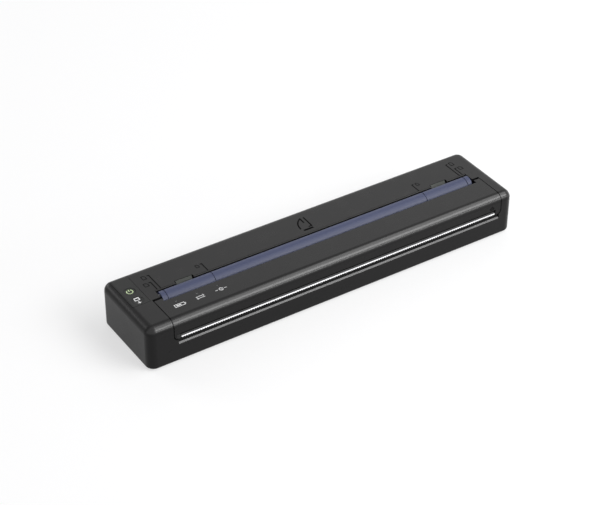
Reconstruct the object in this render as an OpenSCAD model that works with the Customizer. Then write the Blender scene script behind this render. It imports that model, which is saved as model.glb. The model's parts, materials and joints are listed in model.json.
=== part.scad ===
// A4 portable thermal printer: slim case, hinged release cover, sprung keys and a geared platen.
// X runs along the case, the paper comes out towards -Y, and Z = 0 is the table under the feet.

/* [Case] */
// Height of the case without its feet
body_h = 28.5; // [28.5:0.1:30]
// Wall thickness of the moulded housings
wall = 1.8; // [1.6:0.05:2]
// Radius of the vertical corners
corner_r = 5.3; // [5.1:0.1:6]
// Radius of the top edges
edge_r = 5; // [4:0.1:5]
// Height of the bottom pan's visible rim
pan_rim = 2; // [1.8:0.1:2.2]
// Radius round the bottom edge
bottom_r = 1.6; // [1:0.1:1.7]
// How far the rubber feet stand out
foot_h = 0.9; // [0.6:0.1:1.5]
// Radius of a rubber foot
foot_r = 4.5; // [3:0.1:5.5]

/* [Release cover] */
// Length of the left end cap
left_cap = 16.05; // [15.8:0.05:16.4]
// Length of the right end cap
right_cap = 8.95; // [8.8:0.05:9.4]
// Gap round the cover
cover_gap = 0.5; // [0.4:0.05:0.6]
// Wall thickness of the cover
cover_wall = 1.6; // [1.4:0.05:1.8]
// Height of the cover's front, from its lower edge to the top
cover_h = 13; // [12.8:0.05:13.2]
// Radius of the cover's lower corners
cover_corner = 3; // [2:0.1:3.5]

/* [Guide bar] */
// How far the bar stands above the case
bar_rise = 0.6; // [0.3:0.05:0.8]
// Radius of the bar's rear, round the hinge line
bar_back_r = 2.4; // [2.2:0.05:2.4]
// Radius of the bar's front slope
bar_front_r = 6; // [5.6:0.1:6.3]
// Distance of the hinge line behind the case's front
hinge_in = 27.31; // [27.1:0.01:27.5]
// Radius of the hinge pins
pin_r = 1; // [0.8:0.05:1.05]
// Length of one hinge pin
pin_l = 9; // [7:0.25:10]

/* [Paper path] */
// Widest sheet that the printer takes
sheet_w = 216; // [200:0.5:240]
// Room beside the sheet for the driving gears
gear_room = 7.45; // [7.4:0.05:7.6]
// Room beside the sheet at the other end
end_room = 6.55; // [6.5:0.05:7.5]
// Distance of the feed slot's rear wall behind the case's front
slot_in = 30.5; // [30.4:0.05:30.7]
// Inner radius of the bend that turns the sheet forwards
bend_r = 6.5; // [6:0.1:7]
// Depth of the leaving sheet below the top
sheet_drop = 13.55; // [13.5:0.05:13.6]

/* [Platen and head] */
// Radius of the rubber platen
platen_r = 5; // [4.6:0.05:5.1]
// Radius of the platen's steel shaft
shaft_r = 1.75; // [1.5:0.05:2]
// Distance of the platen's axis behind the case's front
platen_in = 12.5; // [12.3:0.05:12.7]
// Depth of the print head, front to back
head_d = 9.3; // [8.5:0.1:9.5]
// Thickness of the print head's ceramic
head_t = 0.9; // [0.7:0.05:1]

/* [Gears] */
// Module of all gears
gear_m = 0.5; // [0.48:0.01:0.5]
// Teeth of the platen gear
platen_teeth = 22; // [21:1:22]
// Teeth of the gear under the platen gear
roller_teeth = 14; // [13:1:14]
// Teeth of the large gear on the drive shaft
drive_teeth = 34; // [33:1:35]
// Teeth of the reduction gear's large wheel
wheel_teeth = 34; // [33:1:34]
// Teeth of the reduction gear's small wheel
small_teeth = 14; // [13:1:14]
// Teeth of the motor's pinion
pinion_teeth = 12; // [12:1:13]
// Play between meshing teeth
backlash = 0.08; // [0.05:0.01:0.12]

/* [Keys] */
// Radius of a key
key_r = 3.3; // [3:0.05:3.5]
// Travel of a key
key_travel = 0.5; // [0.3:0.05:0.5]
// Distance of the power key in front of the case's rear
power_in = 17.3; // [15:0.1:19]
// Distance between the two keys
key_pitch = 9.5; // [8.8:0.1:11]

/* [Battery] */
// Length of the battery pack
pack_l = 116; // [110:0.5:117]
// Depth of the battery pack
pack_d = 17.9; // [16.5:0.1:18]
// Distance of the battery pack's middle from the case's right end
pack_in = 98.5; // [96:0.25:100]

/* [Hidden] */
$fn = 48;

// Small clearances
fit = 0.05;
slip = 0.15;
eps = 0.01;
reach = 100;

// Overall length and depth, from what the case holds
body_l = left_cap + gear_room + sheet_w + end_room + right_cap;
slot_wall = 1.6;
pack_gap = 2.4;
pack_rear_gap = 0.8;
body_d = slot_in + slot_wall + pack_gap + pack_d + pack_rear_gap + wall;

// Faces of the case
x_left = -body_l / 2;
x_right = body_l / 2;
y_front = -body_d / 2;
y_rear = body_d / 2;
z_pan = foot_h;
z_case = foot_h + pan_rim;
z_top = foot_h + body_h;
z_ceiling = z_top - wall;
pan_floor = 1.6;
z_floor = z_pan + pan_floor;

// Opening for the release cover, between the two end caps
open_x0 = x_left + left_cap;
open_x1 = x_right - right_cap;
cover_x0 = open_x0 + cover_gap;
cover_x1 = open_x1 - cover_gap;
bulkhead = 1.5;
ear_front = y_front + 24;
cover_rear = ear_front - 1.7;
cover_bottom = z_top - cover_h;

// Paper path
path_x = open_x0 + gear_room + sheet_w / 2;
slot_y = y_front + slot_in;
sheet_z = z_top - sheet_drop;

// Guide bar and the hinge line inside its rear rounding
hinge_y = y_front + hinge_in;
bar_l = sheet_w + 1.8;
bar_x0 = path_x - bar_l / 2;
bar_x1 = path_x + bar_l / 2;
bar_end_gap = 1;
pin_out = 3.2;
hinge_z = z_top + bar_rise - bar_back_r;
bar_bottom = hinge_z - bar_back_r;
bar_front_y = hinge_y - 5.3;
channel_x0 = bar_x0 - bar_end_gap;
channel_x1 = bar_x1 + bar_end_gap;
channel_lip = bar_front_y - 1.71;
mark_widths = [148, 210];
mark_play = 0.75;

// Paper exit
lip_x0 = path_x - sheet_w / 2 - 4.5;
lip_x1 = path_x + sheet_w / 2 + 5;
lip_z = sheet_z - 0.65;
ramp_z = lip_z - 2.2;
mouth_x0 = path_x - sheet_w / 2 - 5.5;
mouth_x1 = path_x + sheet_w / 2 + 2.2;
mouth_top = cover_bottom + 3.8;
mouth_depth = 1.3;
tear_l = sheet_w + 4.5;
tear_h = 2;
tear_t = 0.4;
tear_pitch = 1.5;

// Platen and the gear train, as [y, z] in the case's cross-section
platen_y = y_front + platen_in;
platen_z = sheet_z + platen_r;
platen_c = [platen_y, platen_z];
rubber_l = sheet_w;
bush_r = 3;
bush_t = 1.2;
cheek_x0 = cover_x0 + cover_wall + 3.45;
cheek_x1 = path_x + sheet_w / 2 + 1.3;
roller_gap = gear_m * (platen_teeth + roller_teeth) / 2 + fit;
tip = 0.95 * gear_m;
drive_drop = 7.835;
drive_c = [platen_y + sqrt(roller_gap * roller_gap - drive_drop * drive_drop), platen_z - drive_drop];
motor_c = [platen_y + 27.6, z_floor + 9.4];
wheel_to_drive = gear_m * (small_teeth + drive_teeth) / 2 + fit;
wheel_to_motor = gear_m * (wheel_teeth + pinion_teeth) / 2 + fit;
wheel_c = meet(drive_c, wheel_to_drive, motor_c, wheel_to_motor);
gear_t = 2.8;
gear_x0 = cover_x0 + cover_wall + 0.15;
thin_t = 2;
wheel_x0 = open_x0 - bulkhead - 3;
drive_x0 = wheel_x0 - 3;
drive_r = 1.5;
axle_r = 1.25;
motor_r = 7.5;
motor_l = 13;

// Print head below the platen
head_l = sheet_w + 1.2;
head_x0 = path_x - head_l / 2;
head_top = sheet_z - 0.3;
head_front = platen_y - head_d / 2;
sink_h = 5.6;
sink_bottom = head_top - head_t - sink_h;
chassis_z = 4.5;
chassis_t = 1;
chassis_y0 = platen_y - 5.6;
chassis_y1 = platen_y + 9.6;
upright_x0 = gear_x0 + gear_t + 0.3;
upright_x1 = cheek_x1;

// Rear compartment
rear_wall_y = slot_y + slot_wall;
chute_c = [slot_y - bend_r, sheet_z - 0.85 + bend_r];
chute_top = chute_c[1];
board_z = z_top - 7.4;
board_t = 1.2;
board_x0 = open_x0 + 27.45;
board_x1 = x_right - wall - 1.1;
board_y0 = rear_wall_y + pack_gap;
board_y1 = y_rear - wall - 1.6;
pack_z = z_floor + 2.4;
pack_h = board_z - pack_z - 1.8;
pack_x = x_right - pack_in;
bay_x0 = pack_x - pack_l / 2 - 3;
bay_x1 = pack_x + pack_l / 2 + 3;
pack_y1 = y_rear - wall - pack_rear_gap;
flap_gap = 0.3;
flap_hinge_r = 1.1;
flap_bottom = 5;
flap_hinge_y = y_rear - flap_hinge_r;
flap_hinge_z = z_top - 8.1;
flap_top = flap_hinge_z + flap_hinge_r + 0.2;
flap_t = 1.6;
x_face = x_right - wall;
jack_w = 9;
jack_at = [rear_wall_y + 0.4 + jack_w / 2, board_z - 5.5];
usb_w = 7.7;
usb_at = [jack_at[0] + (jack_w + usb_w) / 2 + 0.55, board_z - 2.3];

// Keys and their board in the left end cap
panel_x0 = x_left + 3.9;
panel_x1 = open_x0 - 1.1;
key_x = (panel_x0 + panel_x1) / 2;
power_at = [key_x, y_rear - power_in];
feed_at = [key_x, power_at[1] - key_pitch];
panel_front = feed_at[1] - key_r - 1;
panel_t = 1.2;
panel_gap = 0.2;
switch_z = z_ceiling - 2.6;
switch_h = 1.4;
stem_z = switch_z + switch_h + key_travel + 0.1;
key_board_t = 0.8;
key_board_y0 = feed_at[1] - 5;
key_board_y1 = power_at[1] + 5;

// Places that repeat
foot_x = x_right - 19.5;
foot_y = y_rear - 8.5;
foot_places = [for (x = [-foot_x, foot_x]) for (y = [-foot_y, foot_y]) [x, y]];
screw_r = 1.2;
boss_r = 2.5;
boss_h = 6.5;
boss_gap = 1.4;
corner_x = x_right - wall - boss_r + 0.2;
corner_y = y_rear - 7.5;
side_y = y_rear - wall - 2.2;
screw_places = [
    [-corner_x, corner_y], [-corner_x, -corner_y], [corner_x, corner_y], [corner_x, -corner_y],
    [x_left + 52.5, side_y], [x_right - 30.5, side_y], [x_left + 67.5, -side_y], [x_right - 67.5, -side_y]];
window_places = [for (k = [0:2]) [bar_x0 + 4.5 + 13.4 * k, platen_y + 3.6]];
window_r = 0.6;
tab_x0 = path_x - sheet_w / 2 + 17.7;
tab_x1 = path_x + sheet_w / 2 - 18.3;
post_r = 1.5;
post_y0 = board_y0 + post_r + 0.1;
post_y1 = board_y1 - post_r - 0.1;
board_posts = [
    [board_x0 + 6, board_y0 + 5], [board_x0 + 44, post_y1], [board_x1 - 64.6, post_y1],
    [board_x1 - 16.6, post_y1], [board_x0 + 44, post_y0], [board_x1 - 24.6, post_y0]];
stand_pitch = (upright_x1 - upright_x0 - 28) / 3;
chassis_stands = [for (k = [0:3]) upright_x0 + 14 + k * stand_pitch];
rib_pitch = (sheet_w - 12) / 6;
cable_w = 24;
cable_x = bay_x0 - 34;
sensor_x = path_x + 14;
sensor_y = chute_c[0] - 2;

// Clear guide that carries light to the windows
guide_z1 = z_top - cover_wall - fit;
guide_z0 = guide_z1 - 0.7;
guide_leg_x = gear_x0;
guide_y0 = y_front + 4.5;
guide_leg_w = 1.6;

// ---------- geometry helpers ----------

// Point at distances ra and rb from a and b, on the upper side
function meet(a, ra, b, rb) =
    let (
        d = norm(b - a),
        u = (b - a) / d,
        s = (ra * ra - rb * rb + d * d) / (2 * d),
        h = sqrt(max(0, ra * ra - s * s)))
    a + s * u + h * [-u[1], u[0]];

// Angle of the line from a to b
function bearing(a, b) = atan2(b[1] - a[1], b[0] - a[0]);

// Turns the second gear so that its gap meets the first gear's tooth
function in_mesh(first, teeth_a, teeth_b, line) =
    line + 180 - (0.5 - (line - first) * teeth_a / 360) * 360 / teeth_b;

// Involute function, in degrees
function inv(a) = tan(a) * 180 / PI - a;

// Half the angle of a tooth at radius r, for a tooth on base radius rb
function half_tooth(r, rb, teeth, rp) =
    90 / teeth + inv(20) - inv(acos(min(1, rb / r))) - backlash / 4 / rp * 180 / PI;

// Draws in the Y-Z section and extrudes it along +X from x for length l
module along_x(x, l) {
    translate([x, 0, 0]) rotate([90, 0, 90]) linear_extrude(l) children();
}

// Draws in the X-Z plane and extrudes it along +Y from y for length l
module along_y(y, l) {
    translate([0, y + l, 0]) rotate([90, 0, 0]) linear_extrude(l) children();
}

module rod(x, l, c, r) {
    along_x(x, l) translate(c) circle(r);
}

module box(lo, hi) {
    translate(lo) cube(hi - lo);
}

// Upright post with a rounded top edge
module corner_post(r, e, h) {
    rotate_extrude($fn = 64) union() {
        square([r - e, h]);
        square([r, h - e]);
        translate([r - e, h - e]) intersection() {
            circle(e, $fn = 64);
            square(e);
        }
    }
}

module arch(w, h, e) {
    translate([-w / 2, 0]) square([w, h - e]);
    translate([-w / 2 + e, 0]) square([w - 2 * e, h]);
    for (s = [-1, 1]) intersection() {
        translate([s * (w / 2 - e), h - e]) circle(e, $fn = 64);
        translate([-w / 2, 0]) square([w, h]);
    }
}

// Block with rounded uprights and a rounded top, its sides drawn in by inset
module block(z0, z1, inset, r, e) {
    l = body_l - 2 * inset;
    d = body_d - 2 * inset;
    h = z1 - z0;
    translate([0, 0, z0]) union() {
        translate([-l / 2 + r, 0, 0]) rotate([90, 0, 90]) linear_extrude(l - 2 * r) arch(d, h, e);
        translate([0, d / 2 - r, 0]) rotate([90, 0, 0]) linear_extrude(d - 2 * r) arch(l, h, e);
        for (sx = [-1, 1]) for (sy = [-1, 1]) {
            translate([sx * (l / 2 - r), sy * (d / 2 - r), 0]) corner_post(r, e, h);
        }
    }
}

module outer_block(z0) {
    block(z0, z_top, 0, corner_r, edge_r);
}

module inner_block(z0, inset) {
    block(z0, z_top - inset, inset, corner_r - inset, edge_r - inset);
}

// Spur gear in the Y-Z section with its first tooth at angle first
module gear_2d(teeth, first, bore) {
    rp = gear_m * teeth / 2;
    rb = rp * cos(20);
    rf = rp - 1.2 * gear_m;
    ra = rp + tip;
    rs = [max(rb, rf) + eps, rp, ra];
    rotate(first) difference() {
        polygon([for (i = [0:teeth - 1]) let (a = i * 360 / teeth) each concat(
            [rf * [cos(a - half_tooth(rs[0], rb, teeth, rp)), sin(a - half_tooth(rs[0], rb, teeth, rp))]],
            [for (r = rs) r * [cos(a - half_tooth(r, rb, teeth, rp)), sin(a - half_tooth(r, rb, teeth, rp))]],
            [for (k = [2:-1:0]) rs[k] * [
                cos(a + half_tooth(rs[k], rb, teeth, rp)), sin(a + half_tooth(rs[k], rb, teeth, rp))]],
            [rf * [cos(a + half_tooth(rs[0], rb, teeth, rp)), sin(a + half_tooth(rs[0], rb, teeth, rp))]])]);
        circle(bore, $fn = 32);
    }
}

module gear(x, l, c, teeth, first, bore) {
    along_x(x, l) translate(c) gear_2d(teeth, first, bore);
}

// Rotation of each gear, so that the train is in mesh at rest
platen_first = 0;
roller_first = in_mesh(platen_first, platen_teeth, roller_teeth, bearing(platen_c, drive_c));
drive_first = 0;
small_first = in_mesh(drive_first, drive_teeth, small_teeth, bearing(drive_c, wheel_c));
wheel_first = small_first;
pinion_first = in_mesh(wheel_first, wheel_teeth, pinion_teeth, bearing(wheel_c, motor_c));

// ---------- case ----------

module cover_opening() {
    // Everything above the lip, in front of the ears
    along_y(y_front - 1, ear_front - y_front + 1) union() {
        translate([open_x0, cover_bottom - cover_gap + cover_corner]) square([open_x1 - open_x0, reach]);
        translate([open_x0 + cover_corner, cover_bottom - cover_gap])
            square([open_x1 - open_x0 - 2 * cover_corner, reach]);
        for (x = [open_x0 + cover_corner, open_x1 - cover_corner])
            translate([x, cover_bottom - cover_gap + cover_corner]) circle(cover_corner);
    }
    // Between the ears, back to the feed slot
    box([channel_x0, ear_front - 1, bar_bottom - 8], [channel_x1, slot_y, reach]);
}

module slot_lip() {
    // Rounds the slot's rear edge
    lip = 0.8;
    along_x(channel_x0, channel_x1 - channel_x0) difference() {
        translate([slot_y - eps, z_top - lip]) square(lip + eps);
        translate([slot_y + lip, z_top - lip]) circle(lip);
    }
}

module lip_ramp() {
    // Slopes the front wall's top edge in to the paper exit
    along_x(lip_x0, lip_x1 - lip_x0) polygon([
        [y_front - 1, ramp_z], [y_front, ramp_z], [y_front + 1.2, lip_z], [y_front + 1.2, cover_bottom],
        [y_front - 1, cover_bottom]]);
}

module tab_notch(x) {
    box([x - 6, slot_y - 1, z_top - 5.4], [x + 6, slot_y + 2.2, reach]);
}

module case_cavity() {
    intersection() {
        inner_block(z_case - 1, wall);
        union() {
            // Left cap, ahead of the rear compartment
            box([x_left, y_front, 0], [open_x0 - bulkhead, y_rear, z_ceiling]);
            // Right cap and rear compartment
            box([open_x1 + bulkhead, y_front, 0], [x_right, y_rear, z_ceiling]);
            box([open_x0, rear_wall_y, 0], [x_right, y_rear, z_ceiling]);
            // Under the release cover
            box([open_x0, y_front, 0], [open_x1, ear_front, z_ceiling]);
            box([channel_x0, ear_front - 1, 0], [channel_x1, slot_y, z_ceiling]);
            // Below the slot's rear wall and the ears
            box([open_x0, ear_front - 1, 0], [open_x1, rear_wall_y + 1, chute_top + fit]);
        }
    }
}

module main_case() {
    color([0.13, 0.13, 0.14]) difference() {
        union() {
            difference() {
                outer_block(z_case);
                case_cavity();
                cover_opening();
                // Thins the front wall behind the lip's ramp
                lip_ramp();
            }
            case_inside();
        }
        slot_lip();
        for (x = [tab_x0, tab_x1]) tab_notch(x);
        panel_recess();
        key_holes(key_r + 0.9);
        case_bores();
        side_windows();
        flap_opening();
    }
}

// Ledge, bosses and posts that are moulded with the case
module case_inside() {
    // Ledge under the leaving sheet
    box([open_x0 - eps, y_front + 1.2, lip_z - 1.4], [open_x1 + eps, y_front + 5.2, lip_z]);
    // Screw bosses
    for (p = screw_places) intersection() {
        translate([p[0], p[1], z_floor + boss_gap]) cylinder(r = boss_r, h = boss_h);
        inner_block(0, wall - eps);
    }
    // Posts that hold the main board
    for (p = board_posts)
        box([p[0] - post_r, p[1] - post_r, board_z + board_t], [p[0] + post_r, p[1] + post_r, z_ceiling + eps]);
    // Posts that hold the key board
    for (y = [key_board_y0 + 1, key_board_y1 - 1])
        box([panel_x0 + 0.3, y - 1, switch_z], [panel_x0 + 1.8, y + 1, z_ceiling + eps]);
    box([panel_x1 - 1.4, (power_at[1] + feed_at[1]) / 2 - 1, switch_z],
        [panel_x1 + 1, (power_at[1] + feed_at[1]) / 2 + 1, z_ceiling + eps]);
    // Thicker wall behind the paper tabs
    for (x = [tab_x0, tab_x1])
        box([x - 7.5, rear_wall_y - eps, z_top - 7], [x + 7.5, slot_y + 3.6, z_ceiling + eps]);
    // Boss for the reduction gear's axle
    rod(open_x0 - bulkhead - 0.6, 0.7, wheel_c, 2.2);
}

module panel_recess() {
    intersection() {
        difference() {
            outer_block(z_top - 6);
            inner_block(z_top - 7, panel_t);
        }
        box([panel_x0 - panel_gap, panel_front - panel_gap, z_top - edge_r - 0.4],
            [panel_x1 + panel_gap, reach, reach]);
    }
}

module key_holes(r) {
    for (p = [power_at, feed_at]) translate([p[0], p[1], z_ceiling - 1]) cylinder(r = r, h = reach);
}

module case_bores() {
    // Hinge pins in the ears
    rod(bar_x0 - pin_out - 0.3, 2 * (pin_out + 0.3) + bar_l, [hinge_y, hinge_z], pin_r + fit);
    // Drive shaft, axle and motor boss in the left bulkhead
    rod(open_x0 - bulkhead - 2, bulkhead + 4, drive_c, drive_r + fit);
    rod(open_x0 - bulkhead - 2, bulkhead + 1.2, wheel_c, axle_r);
    rod(open_x0 - bulkhead - 2, bulkhead + 4, motor_c, 3.5);
    // Screws
    for (p = screw_places) translate([p[0], p[1], 0]) cylinder(r = screw_r, h = 9.4);
    // Battery flap pins
    rod(bay_x0 - 3.2, bay_x1 - bay_x0 + 6.4, [flap_hinge_y, flap_hinge_z], 0.55);
}

module side_windows() {
    rod(x_face - 1, reach, jack_at, 4.4);
    along_x(x_face - 1, reach) translate(usb_at + [-4.3, -2.5]) square([8.6, 5]);
}

module flap_opening() {
    box([bay_x0, y_rear - wall - 1, flap_bottom - flap_gap], [bay_x1, reach, flap_top]);
}

module bottom_cover() {
    color([0.11, 0.11, 0.12]) difference() {
        union() {
            difference() {
                translate([0, 0, z_case]) mirror([0, 0, 1]) block(0, pan_rim, 0, corner_r, bottom_r);
                block(z_floor, z_floor + 20, wall + slip + 1, corner_r - wall - 1, 1);
            }
            // Lip inside the case's walls
            difference() {
                block(z_floor, z_case + 20, wall + slip, corner_r - wall, 1);
                block(z_floor - 1, z_case + 21, wall + slip + 1, corner_r - wall - 1, 0.5);
                box([-reach * 2, -reach, z_case + 1.5], [reach * 2, reach, reach]);
                for (p = screw_places)
                    translate([p[0], p[1], z_floor]) cylinder(r = boss_r + slip, h = reach);
                box([bay_x0 - 1, y_rear - wall - 2, z_case], [bay_x1 + 1, reach, reach]);
                // Clear of the bulkheads
                for (x = [open_x0 - bulkhead, open_x1])
                    box([x - slip, -reach, z_floor], [x + bulkhead + slip, reach, reach]);
            }
            intersection() {
                for (p = screw_places)
                    translate([p[0], p[1], z_floor - eps]) cylinder(r = boss_r, h = boss_gap - slip);
                block(z_pan, z_top, wall + slip, corner_r - wall, 1);
            }
            // Stands for the chassis and ribs under the battery
            for (x = chassis_stands) for (y = [chassis_y0 + 3, chassis_y1 - 3])
                translate([x, y, z_floor - eps]) cylinder(r = 2.4, h = chassis_z - z_floor);
            for (x = [pack_x - pack_l / 2 + 6:26:pack_x + pack_l / 2])
                box([x - 0.8, pack_y1 - pack_d + 1, z_floor - eps], [x + 0.8, y_rear - wall - 3, pack_z - eps]);
        }
        for (p = screw_places) translate([p[0], p[1], 0]) {
            cylinder(r = screw_r + slip, h = 9);
            cylinder(r = 2.6, h = z_pan + 1.5);
        }
        for (p = foot_places) translate([p[0], p[1], 0]) cylinder(r = foot_r + fit, h = z_pan + 0.6);
    }
}

module rubber_feet() {
    color([0.2, 0.2, 0.2]) for (p = foot_places) translate([p[0], p[1], 0]) rotate_extrude() union() {
        square([foot_r - 0.4, z_pan + 0.6]);
        translate([0, 0.4]) square([foot_r, z_pan + 0.2]);
    }
}

module case_screws() {
    color("silver") for (p = screw_places) translate([p[0], p[1], 0]) difference() {
        union() {
            translate([0, 0, z_pan + 0.2]) cylinder(r = 2.3, h = 1.3);
            cylinder(r = screw_r - fit, h = 9);
        }
        translate([0, 0, -1]) cylinder(r = 3, h = z_pan + 1.2);
        // Cross recess
        for (a = [0, 90]) rotate(a) translate([-1.3, -0.3, z_pan - 0.5]) cube([2.6, 0.6, 1.4]);
    }
}

// ---------- keys ----------

module button_panel() {
    color([0.14, 0.14, 0.15]) difference() {
        intersection() {
            difference() {
                outer_block(z_top - 6);
                inner_block(z_top - 7, panel_t - fit);
            }
            box([panel_x0, panel_front, z_top - edge_r - 0.2], [panel_x1, reach, reach]);
        }
        key_holes(key_r + slip);
    }
}

// Dished round key with a collar under the panel
module key_cap(p) {
    translate([p[0], p[1], 0]) difference() {
        union() {
            translate([0, 0, z_ceiling]) cylinder(r = key_r, h = z_top - 0.1 - z_ceiling);
            translate([0, 0, z_ceiling - 0.1]) cylinder(r = key_r + 0.6, h = z_top - panel_t - z_ceiling);
            translate([0, 0, stem_z]) cylinder(r = 1, h = z_ceiling + 1 - stem_z);
        }
        translate([0, 0, z_top + 12.6]) sphere(13, $fn = 96);
    }
}

module power_button() {
    color([0.16, 0.17, 0.16]) key_cap(power_at);
}

module feed_button() {
    color([0.17, 0.17, 0.17]) key_cap(feed_at);
}

module key_board() {
    color([0.05, 0.3, 0.15])
        box([panel_x0 + 0.3, key_board_y0, switch_z - key_board_t],
            [open_x0 - bulkhead - slip, key_board_y1, switch_z]);
}

module key_switches() {
    color("dimgray") for (p = [power_at, feed_at]) translate([p[0], p[1], 0]) {
        box([-2.2, -2.2, switch_z], [2.2, 2.2, switch_z + 1.1]);
        translate([0, 0, switch_z + 1]) cylinder(r = 0.9, h = switch_h - 1);
    }
}

// ---------- release cover, which turns about the hinge pins ----------

// Cover's outline in the Y-Z section, drawn in by inset
module cover_outline(inset, bottom, back) {
    r = edge_r - inset;
    f = y_front + inset;
    t = z_top - inset;
    translate([f, bottom]) square([back - f, t - r - bottom]);
    translate([f + r, t - r - 1]) square([back - f - r, r + 1]);
    translate([f + r, t - r]) circle(r, $fn = 64);
}

// Channel that the guide bar lies in: rounded lip, front web and seat
module bar_channel() {
    lip = 1;
    web = 1.5;
    seat = 1.3;
    translate([channel_lip - lip, z_top - cover_wall]) square([lip + eps, cover_wall - lip]);
    translate([channel_lip - lip, z_top - lip]) circle(lip);
    translate([channel_lip - web, bar_bottom - seat]) square([web, z_top - lip - bar_bottom + seat]);
    translate([channel_lip - web, bar_bottom - seat])
        square([hinge_y + 1.4 - channel_lip + web - seat, seat]);
    translate([hinge_y + 1.4 - seat, bar_bottom - seat]) intersection() {
        translate([0, seat]) circle(seat);
        square(seat);
    }
}

module cover_corners() {
    along_y(-reach, 2 * reach) union() {
        translate([cover_x0, cover_bottom + cover_corner]) square([cover_x1 - cover_x0, reach]);
        translate([cover_x0 + cover_corner, cover_bottom])
            square([cover_x1 - cover_x0 - 2 * cover_corner, reach]);
        for (x = [cover_x0 + cover_corner, cover_x1 - cover_corner])
            translate([x, cover_bottom + cover_corner]) circle(cover_corner);
    }
}

// Plate that hangs from the cover's top and carries a platen bush
module cheek(x) {
    along_x(x, bush_t) difference() {
        union() {
            translate(platen_c) circle(bush_r + 1.4);
            translate([platen_y - bush_r - 1.4, platen_z]) square([2 * bush_r + 2.8, z_top - 1 - platen_z]);
        }
        translate(platen_c) circle(bush_r);
    }
}

// Pocket in the cover's front for the tear bar
module tear_pocket() {
    seat = y_front + mouth_depth;
    along_x(mouth_x0, mouth_x1 - mouth_x0) polygon([
        [y_front - 1, cover_bottom - 1], [seat - 0.75, cover_bottom - 1], [seat - 0.75, cover_bottom],
        [seat, cover_bottom + tear_h], [seat, mouth_top], [y_front - 1, mouth_top]]);
}

module release_cover() {
    color([0.13, 0.13, 0.14]) difference() {
        intersection() {
            union() {
                // Skin, open underneath
                difference() {
                    along_x(cover_x0, cover_x1 - cover_x0) cover_outline(0, cover_bottom, cover_rear);
                    along_x(cover_x0 + cover_wall, cover_x1 - cover_x0 - 2 * cover_wall)
                        cover_outline(cover_wall, cover_bottom - 5, cover_rear + 5);
                    box([channel_x0, channel_lip - 1, 0], [channel_x1, 0, reach]);
                    // Side walls stop short of the driving gears
                    box([-reach * 2, platen_y + 8.4, 0], [reach * 2, reach, z_top - 7]);
                }
                along_x(channel_x0 + fit, channel_x1 - channel_x0 - 2 * fit) bar_channel();
                // Thick rib behind the tear bar's pocket
                along_x(mouth_x0 - 1.5, mouth_x1 - mouth_x0 + 3)
                    translate([y_front + 1, cover_bottom])
                        square([mouth_depth + 0.5, mouth_top - cover_bottom + 1.2]);
                for (x = [cheek_x0, cheek_x1]) cheek(x);
                // Ribs that stiffen the top
                for (k = [1:7]) {
                    x = cheek_x0 + k * (cheek_x1 - cheek_x0) / 8;
                    along_x(x - 0.5, 1) difference() {
                        cover_outline(cover_wall - eps, sheet_z + 3, channel_lip - 1);
                        translate(platen_c) circle(platen_r + 0.7);
                        translate([platen_y - platen_r - 0.7, 0]) square([30, platen_z]);
                    }
                }
            }
            cover_corners();
        }
        tear_pocket();
        cover_windows(window_r + fit);
        // Room for the light guide under the top
        guide_room();
    }
}

module cover_windows(r) {
    for (p = window_places) translate([p[0], p[1], z_top - 5]) cylinder(r = r, h = 10);
}

module guide_room() {
    y = window_places[0][1];
    box([cheek_x0 - 1, y - 1.5, guide_z0 - slip], [window_places[2][0] + 1.7, y + 1.5, guide_z1]);
}

// Clear bar under the cover's top, with three posts that show as dots
module light_guide() {
    w = 1.2;
    y = window_places[0][1];
    color([0.75, 0.8, 0.78]) union() {
        box([guide_leg_x, y - w, guide_z0], [window_places[2][0] + w, y + w, guide_z1]);
        for (p = window_places)
            translate([p[0], p[1], guide_z0]) cylinder(r = window_r, h = z_top - guide_z0 - 0.1);
        box([guide_leg_x, guide_y0, guide_z0], [guide_leg_x + 2.4, y, guide_z1]);
        box([guide_leg_x, guide_y0, lip_z + 2],
            [guide_leg_x + 2.4, guide_y0 + guide_leg_w, guide_z1]);
    }
}

module led_board() {
    t = 0.8;
    color([0.05, 0.3, 0.15])
        box([open_x0 + 0.4, guide_y0 - 0.6, lip_z], [guide_leg_x + 4, guide_y0 + 2.8, lip_z + t]);
    color("white")
        box([guide_leg_x + 0.4, guide_y0, lip_z + t], [guide_leg_x + 2, guide_y0 + guide_leg_w, lip_z + 1.5]);
}

// Guide bar's section: round behind the hinge line, longer slope in front; less makes it smaller all round
module bar_section(less) {
    c = z_top + bar_rise - bar_front_r;
    translate([hinge_y, hinge_z]) circle(bar_back_r - less, $fn = 64);
    intersection() {
        translate([hinge_y, c]) circle(bar_front_r - less, $fn = 96);
        translate([bar_front_y + less, bar_bottom + less]) square([hinge_y - bar_front_y - less, reach]);
    }
}

module guide_bar() {
    groove = 0.5;
    color([0.33, 0.36, 0.52]) difference() {
        along_x(bar_x0, bar_l) bar_section(0);
        for (w = mark_widths) for (s = [-1, 1])
            along_x(path_x + s * (w / 2 + mark_play) - groove / 2, groove) difference() {
                translate([bar_front_y - 1, hinge_z - 1]) square([12, 10]);
                bar_section(0.35);
            }
        for (x = [bar_x0 - 1, bar_x1 - pin_l + 3]) rod(x, pin_l - 2, [hinge_y, hinge_z], pin_r + fit / 2);
    }
}

module hinge_pins() {
    color("silver") {
        rod(bar_x0 - pin_out, pin_l, [hinge_y, hinge_z], pin_r);
        rod(bar_x1 - pin_l + pin_out, pin_l, [hinge_y, hinge_z], pin_r);
    }
}

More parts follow.
